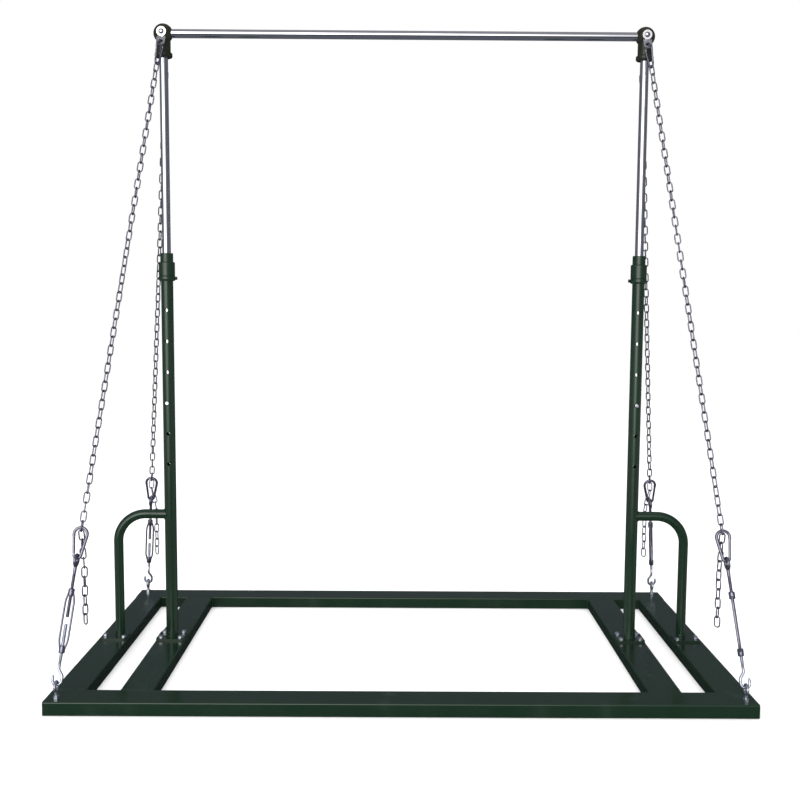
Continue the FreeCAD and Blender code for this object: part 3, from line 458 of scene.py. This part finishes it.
# ================================================================ stays
class Stay:
    """The line of one stay, taken from its turnbuckle joint, and the frame about it."""

    def __init__(self, name, sx, sy):
        joint = next(j for j in frame["joints"] if j["name"] == name + "_turnbuckle_turn")
        self.name, self.sx, self.sy = name, sx, sy
        self.up = Vector(joint["axis"]).normalized()
        self.foot = Vector(joint["pos_m"]) - self.up * BODY_MIDDLE
        outward = Vector((sx, 0, 0))
        self.out = (outward - self.up * outward.dot(self.up)).normalized()
        self.across = self.up.cross(self.out)

    def matrix(self, along=0.0, turn=0.0):
        """Places a shape drawn about its own Z axis on the stay, `turn` degrees about it."""
        axes = Matrix((self.out, self.across, self.up)).transposed().to_4x4()
        spin = Matrix.Rotation(math.radians(turn), 4, "Z")
        return Matrix.Translation(self.foot + self.up * along) @ axes @ spin

    def along(self, z):
        """Distance up the stay of the point at height z."""
        return (z - self.foot.z) / self.up.z


def link_skin():
    """One chain link about the origin, long way up Z, flat in the YZ plane, with its weld swelling."""
    straight = LINK_HALF_L - LINK_HALF_W
    bend_steps = 12
    path = []
    for end in (1, -1):
        for i in range(bend_steps + 1):
            turn = math.pi * i / bend_steps
            y = end * LINK_HALF_W * math.cos(turn)
            path.append(Vector((0, y, end * (straight + LINK_HALF_W * math.sin(turn)))))
        for share in (0.34, 0.45, 0.5, 0.55, 0.66):
            path.append(Vector((0, -end * LINK_HALF_W, end * straight * (1 - 2 * share))))

    def radius(i):
        swell = 0.0
        if path[i].y > 0.9 * LINK_HALF_W:
            swell = LINK_SWELL * math.exp(-(path[i].z / LINK_SWELL_L) ** 2)
        return LINK_WIRE * (1 + swell), LINK_WIRE * (1 + swell)

    return sweep(path, radius, Vector((1, 0, 0)), 12, closed=True)


def string_links(shell, link, joints, turns, across, rng):
    """Links between joint points, each at its own turn about its length, with a little looseness."""
    vertices, faces = link
    for a, b, turn in zip(joints, joints[1:], turns):
        along = (b - a).normalized()
        side = (across - along * across.dot(along)).normalized()
        axes = Matrix((side.cross(along), side, along)).transposed().to_4x4()
        spin = Matrix.Rotation(math.radians(turn + rng.uniform(-LINK_LOOSE, LINK_LOOSE)), 4, "Z")
        shell.add(vertices, faces, Matrix.Translation((a + b) / 2) @ axes @ spin)


def twist_at(share, stops):
    """Value at `share`, straight between its neighbours in (share, value) stops."""
    for (start, low), (end, high) in zip(stops, stops[1:]):
        if share <= end:
            return low + (high - low) * (share - start) / (end - start)
    return stops[-1][1]


def make_chain(stay, link):
    """Taut links between the two snap hooks."""
    node = stay.name + "_chain"
    low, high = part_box(node)
    bottom, top = stay.along(low.z), stay.along(high.z)
    outer = 2 * (LINK_HALF_L + LINK_WIRE)
    gaps = round((top - bottom - outer) / LINK_STEP)
    step = (top - bottom - outer) / gaps
    start = bottom + outer / 2 - step / 2
    joints = [stay.foot + stay.up * (start + i * step) for i in range(gaps + 2)]
    quarters = 90.0 * gaps
    upper_turn = stay.sx * stay.sy * UPPER_TURN
    half_turns = round((quarters + CHAIN_TWIST[-1][1] - upper_turn) / 180)
    stops = CHAIN_TWIST + ((1.0, upper_turn + 180 * half_turns - quarters),)
    turns = [90.0 * i + twist_at(i / gaps, stops) for i in range(gaps + 1)]
    shell = Shell()
    string_links(shell, link, joints, turns, stay.across, random.Random(stay.name))
    piece = zinc_piece(shell, node + "_links")
    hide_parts(node)
    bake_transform(piece)
    return joints


def make_tail(stay, link, lowest_joint):
    """Spare links below the lower snap hook."""
    leans = TAIL_LEANS["front" if stay.sy < 0 else "rear"]
    joints = [lowest_joint]
    for i in range(TAIL_LINKS):
        back, aside = leans[i] if i < len(leans) else (0.0, 0.0)
        aside_run, back_run = math.tan(math.radians(aside)), math.tan(math.radians(back))
        lean = Vector((-stay.sx * aside_run, -stay.sy * back_run, -1))
        joints.append(joints[-1] + lean.normalized() * TAIL_PITCH)
    turns = [TAIL_TURN[0] + TAIL_TURN[1] * i for i in range(TAIL_LINKS)]
    shell = Shell()
    string_links(shell, link, joints, turns, Vector((0, 1, 0)), random.Random(stay.name + "tail"))
    piece = zinc_piece(shell, stay.name + "_tail_links")
    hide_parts("chain_tails")
    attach(piece, "base")


def hook_path(bottom):
    """Centre line of the anchor hook, from its thread down round the bow to the tip."""
    neck_steps, bow_steps, tip_steps = 12, 24, 8
    bow = bottom + HOOK_WIRE + HOOK_BOW_R
    neck_end, neck_start = (bow + HOOK_BOW_R * rise for rise in HOOK_NECK)
    fall = neck_end - HOOK_BOW_R / 3 - neck_start
    points = [Vector((0, 0, THREAD_START))]
    for i in range(neck_steps + 1):
        share = i / neck_steps
        ease = share * share * (3 - 2 * share)
        points.append(Vector((-HOOK_BOW_R * ease, 0, neck_start + fall * share)))
    for i in range(bow_steps + 1):
        turn = math.pi * i / bow_steps
        points.append(Vector((-HOOK_BOW_R * math.cos(turn), 0, bow - HOOK_BOW_R * math.sin(turn))))
    for i in range(1, tip_steps + 1):
        points.append(Vector((HOOK_BOW_R, 0, bow + (HOOK_TIP + HOOK_WIRE) * i / tip_steps)))
    return points


def make_hook_rod(stay):
    """Forged hook with a blunt tapered tip and a cut thread."""
    low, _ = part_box("turnbuckle_hooks")
    path = hook_path((low.z - stay.foot.z) / stay.up.z + HOOK_LIFT)
    taper = 7                   # points of the path that the tip tapers over

    def radius(i):
        to_tip = (len(path) - 1 - i) / taper
        r = HOOK_WIRE * math.sqrt(max(0.12, 1 - max(0.0, 1 - to_tip) ** 2))
        return r, r

    shell = Shell()
    shell.add(*sweep(path, radius, Vector((0, 1, 0)), 18), stay.matrix())
    shell.add(*thread(THREAD_START - THREAD_LAP, BODY_MIDDLE - ROD_GAP), stay.matrix())
    piece = zinc_piece(shell, stay.name + "_hook_rod", FRESH_ZINC)
    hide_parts("turnbuckle_hooks")
    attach(piece, "base")


def make_eye_rod(stay):
    """Threaded rod with a forged eye; it slides as the body turns."""
    node = stay.name + "_eye_rod"
    root = ROD_EYE - ROD_EYE_R
    ring = [Vector((0, ROD_EYE_R * y, ROD_EYE + ROD_EYE_R * x)) for x, y in unit_circle(40)]
    neck = [(THREAD_R * share, root + rise) for share, rise in ROD_NECK]
    neck = [(ON_AXIS, neck[0][1])] + neck + [(ON_AXIS, root + ROD_NECK_TOP)]
    shell = Shell()
    wire = (ROD_EYE_WIRE, ROD_EYE_WIRE)
    shell.add(*sweep(ring, lambda i: wire, Vector((1, 0, 0)), 18, closed=True), stay.matrix())
    shell.add(*lathe(neck, THREAD_SEGMENTS), stay.matrix())
    shell.add(*thread(BODY_MIDDLE + ROD_GAP, root + ROD_THREAD_END), stay.matrix())
    piece = zinc_piece(shell, node + "_threaded")
    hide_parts(node)
    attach(piece, stay.name + "_rod")


def side_bar_path(side):
    """Centre line of one of the turnbuckle body's side bars, bowed out between its bosses."""
    steps = 28
    reach = BODY_HALF_L - BODY_ROOT_IN
    path = []
    for i in range(steps + 1):
        z = -reach + 2 * reach * i / steps
        ease = math.sin(min(1.0, (reach - abs(z)) / BODY_TAPER) * math.pi / 2)
        path.append(Vector((side * (BODY_ROOT_W + (BODY_HALF_W - BODY_ROOT_W) * ease), 0, z)))
    return path


def boss_skin(z0, z1):
    """Bored round boss about Z with rounded edges: a turned ring whose ends are joined by its bore."""
    bore = THREAD_R + BORE_CLEARANCE
    profile = [(bore, z0)] + [(BOSS_R - inset, z0 + rise) for inset, rise in BOSS_EDGE]
    profile += [(BOSS_R - inset, z1 - rise) for inset, rise in reversed(BOSS_EDGE)] + [(bore, z1)]
    segments = 30
    vertices, faces = lathe(profile, segments)
    last = len(vertices) - segments
    wall = [(last + j, last + (j + 1) % segments, (j + 1) % segments, j) for j in range(segments)]
    return vertices, faces[:-2] + wall


def make_turnbuckle(stay):
    """Forged open body: two bosses and two bowed oval side bars, at the CAD node's own turn."""
    node = stay.name + "_turnbuckle"
    place = stay.matrix(BODY_MIDDLE, body_turn(stay, node))
    shell = Shell()
    for side in (-1, 1):
        shell.add(*sweep(side_bar_path(side), lambda i: BODY_BAR_R, Vector((1, 0, 0)), 16), place)
    for end in (-1, 1):
        shell.add(*boss_skin(*sorted((end * BODY_HALF_L, end * (BODY_HALF_L - BOSS_L)))), place)
    piece = zinc_piece(shell, node + "_forged")
    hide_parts(node)
    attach(piece, stay.name + "_turnbuckle_body")


def body_turn(stay, node):
    """Angle about the stay of the plane that the body's two side bars lie in."""
    middle = stay.foot + stay.up * BODY_MIDDLE
    even, skew = 0.0, 0.0
    for vertex in frame["nodes"][node].data.vertices:
        arm = vertex.co - middle
        x, y = arm.dot(stay.out), arm.dot(stay.across)
        even += x * x - y * y
        skew += 2 * x * y
    return math.degrees(math.atan2(skew, even)) / 2


def make_stays():
    link = link_skin()
    for name, sx, sy in STAYS:
        stay = Stay(name, sx, sy)
        joints = make_chain(stay, link)
        make_tail(stay, link, joints[0])
        make_hook_rod(stay)
        make_eye_rod(stay)
        make_turnbuckle(stay)


# ================================================================ weld beads
def bead_skin(path, size, seed, closed=False):
    """Rippled weld bead along a path."""
    rng = random.Random(seed)
    jitter = [rng.uniform(-0.07, 0.07) for _ in path]

    def radius(i):
        ripple = 1 + 0.10 * math.sin(i * 2.1) + jitter[i]
        return size * ripple, size * ripple

    return sweep(path, radius, Vector((0.3, 0.2, 1.0)), BEAD_SEGMENTS, closed)


def ring_bead(shell, centre, radius, size, seed):
    """Bead round the foot of an upright tube."""
    count = max(48, int(2 * math.pi * radius / (1.6 * MM)))
    path = [centre + Vector((radius * x, radius * y, 0)) for x, y in unit_circle(count)]
    shell.add(*bead_skin(path, size, seed, closed=True))


def line_bead(shell, start, end, size, seed):
    """Straight bead."""
    count = max(6, int((end - start).length / (1.8 * MM)))
    path = [start.lerp(end, i / count) for i in range(count + 1)]
    shell.add(*bead_skin(path, size, seed))


def saddle_bead(shell, post, sx, brace, size, seed):
    """Bead where the brace's end meets the round post, which are (height, radius) and (x, radius)."""
    post_x, post_r = post
    brace_z, brace_r = brace
    ring_r = brace_r + 0.4 * size
    path = []
    for x, y in unit_circle(110):
        depth = math.sqrt(post_r ** 2 - min(abs(ring_r * x), post_r * 0.999) ** 2)
        path.append(Vector((post_x + sx * (depth + 0.3 * size), ring_r * x, brace_z + ring_r * y)))
    shell.add(*bead_skin(path, size, seed, closed=True))


def post_and_brace_beads(shell, name, sx):
    """Beads at the post's foot, the brace's foot and between the two."""
    low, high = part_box(name + "_post")
    post_x, post_r = (low.x + high.x) / 2, (high.y - low.y) / 2
    foot = Vector((post_x, 0, low.z + RING_LIFT))
    ring_bead(shell, foot, post_r + POST_BEAD_OUT, POST_BEAD, name)
    low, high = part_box(name + "_brace")
    brace_r = (high.y - low.y) / 2
    outer = high.x if sx > 0 else low.x
    foot = Vector((outer - sx * brace_r, 0, low.z + RING_LIFT))
    ring_bead(shell, foot, brace_r + BRACE_BEAD_OUT, FOOT_BEAD, name + "foot")
    brace = (high.z - brace_r, brace_r)
    saddle_bead(shell, (post_x, post_r), sx, brace, BRACE_BEAD, name + "saddle")


def rail_beads(shell, rail):
    """Beads where a rail's ends meet the front and rear rails, up the inside corners and across the top."""
    _, front_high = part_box("front_rail")
    rear_low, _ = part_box("rear_rail")
    low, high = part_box(rail)
    top = front_high.z
    for x in (low.x, high.x):
        if abs(x) > front_high.x - OUTER_EDGE:
            continue
        inward = CORNER_IN if x == low.x else -CORNER_IN
        for y, step in ((front_high.y, 1), (rear_low.y, -1)):
            corner = Vector((x - inward, y + step * CORNER_IN, 0))
            start, end = corner + UP * RAIL_ROUND, corner + UP * (top - UPRIGHT_STOP)
            line_bead(shell, start, end, UPRIGHT_BEAD, rail + str(y))
    for y in (front_high.y, rear_low.y):
        start = Vector((low.x + RAIL_ROUND, y, top - FLUSH_SINK))
        end = Vector((high.x - RAIL_ROUND, y, top - FLUSH_SINK))
        line_bead(shell, start, end, FLUSH_BEAD, rail + "top" + str(y))


def make_welds():
    """All painted beads, as one piece on the frame."""
    shell = Shell()
    for name, sx in SIDES:
        post_and_brace_beads(shell, name, sx)
    for side in ("left_", "right_"):
        for kind in ("side_rail", "inner_rail"):
            rail_beads(shell, side + kind)
    piece = shell.make("frame_weld_beads", MATERIALS["green_paint"])
    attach(piece, "base")


# ================================================================ camera, light and floor
def make_camera():
    """Camera at the photograph's own place, angle and field of view."""
    yaw, pitch, roll = CAMERA_YAW, CAMERA_PITCH, CAMERA_ROLL
    level = Vector((math.sin(yaw), math.cos(yaw), 0))
    forward = Vector((level.x * math.cos(pitch), level.y * math.cos(pitch), -math.sin(pitch)))
    right = Vector((math.cos(yaw), -math.sin(yaw), 0))
    up = right.cross(forward)
    tilted_right = right * math.cos(roll) + up * math.sin(roll)
    tilted_up = up * math.cos(roll) - right * math.sin(roll)
    data = bpy.data.cameras.new("camera")
    data.lens = CAMERA_LENS
    data.sensor_width = CAMERA_SENSOR
    data.dof.use_dof = False
    camera = bpy.data.objects.new("camera", data)
    axes = Matrix((tilted_right, tilted_up, -forward)).transposed().to_4x4()
    camera.matrix_world = Matrix.Translation(CAMERA_PLACE) @ axes
    bpy.context.scene.collection.objects.link(camera)
    bpy.context.scene.camera = camera


def area_light(name, place, size, power, target):
    """Soft lamp that matt pieces receive and that isn't seen, straight or mirrored."""
    data = bpy.data.lights.new(name, "AREA")
    data.shape = "RECTANGLE"
    data.size, data.size_y = size
    data.energy = power
    lamp = bpy.data.objects.new(name, data)
    lamp.location = place
    lamp.rotation_mode = "QUATERNION"
    lamp.rotation_quaternion = (target - Vector(place)).to_track_quat("-Z", "Y")
    lamp.visible_glossy = False
    lamp.visible_camera = False
    bpy.context.scene.collection.objects.link(lamp)


def maths(tree, operation, *values):
    """Math node on sockets."""
    node = tree.nodes.new("ShaderNodeMath")
    node.operation = operation
    for value, socket in zip(values, node.inputs):
        tree.links.new(value, socket)
    return node.outputs["Value"]


def mirrored_room(tree):
    """What shiny pieces mirror: a large softbox in front, a little to the left, a paler ceiling, dim
    walls, and below them the shade in front and behind and the floor at both sides."""
    place = tree.nodes.new("ShaderNodeTexCoord").outputs["Generated"]
    split = tree.nodes.new("ShaderNodeSeparateXYZ")
    tree.links.new(place, split.inputs["Vector"])
    aim = tree.nodes.new("ShaderNodeVectorMath")
    aim.operation = "DOT_PRODUCT"
    aim.inputs[1].default_value = SOFTBOX_AIM
    tree.links.new(place, aim.inputs[0])
    closeness = aim.outputs["Value"]
    height = span(tree, split.outputs["Z"], 0.0, 1.0, -1.0, 1.0)
    walls = ramp(tree, height, [(0.24, WALL), (0.30, SHADE), (0.43, SHADE), (0.49, WALL), (0.85, WALL),
                                (1.0, CEILING)])
    low_sides = ramp(tree, height, [(0.10, WALL), (0.25, PALE_FLOOR), (0.43, PALE_FLOOR), (0.49, WALL),
                                    (0.85, WALL)])
    sideways = span(tree, maths(tree, "ABSOLUTE", split.outputs["X"]), 0.0, 1.0, *SIDES_FROM)
    walls = mix_colour(tree, sideways, walls, low_sides)
    glow = ramp(tree, closeness, [(0.50, WALL), *SOFTBOX_GLOW, (0.97, SOFTBOX)])
    reach = span(tree, closeness, 0.0, 1.0, *SOFTBOX_REACH)
    above_foot = span(tree, split.outputs["Z"], 0.0, 1.0, *SOFTBOX_FOOT)
    return mix_colour(tree, maths(tree, "MULTIPLY", reach, above_foot), walls, glow)


def make_world():
    """White surroundings that light everything evenly; shiny pieces mirror a studio room instead."""
    world = bpy.data.worlds.new("studio")
    world.use_nodes = True
    bpy.context.scene.world = world
    tree = world.node_tree
    tree.nodes.clear()
    ray = tree.nodes.new("ShaderNodeLightPath")
    lit = mix_colour(tree, ray.outputs["Is Diffuse Ray"], mirrored_room(tree), ROOM_LIGHT)
    colour = mix_colour(tree, ray.outputs["Is Camera Ray"], lit, BACKDROP)
    background = tree.nodes.new("ShaderNodeBackground")
    output = tree.nodes.new("ShaderNodeOutputWorld")
    tree.links.new(colour, background.inputs["Color"])
    tree.links.new(background.outputs["Background"], output.inputs["Surface"])


def make_studio():
    """Surroundings, lamps and floor."""
    make_world()
    middle = (CAD_LOW + CAD_HIGH) / 2
    for lamp in LAMPS:
        area_light(*lamp, middle)
    corners = [(x * FLOOR_HALF, y * FLOOR_HALF, 0) for x, y in ((-1, -1), (1, -1), (1, 1), (-1, 1))]
    floor = mesh_object("floor", corners, [(0, 1, 2, 3)], floor_material(), False)
    floor.location.z = CAD_LOW.z - FLOOR_GAP
    floor.visible_glossy = False
    bpy.context.scene.view_settings.view_transform = "Standard"


make_camera()
finish_cad_nodes()
make_stays()
make_welds()
make_studio()
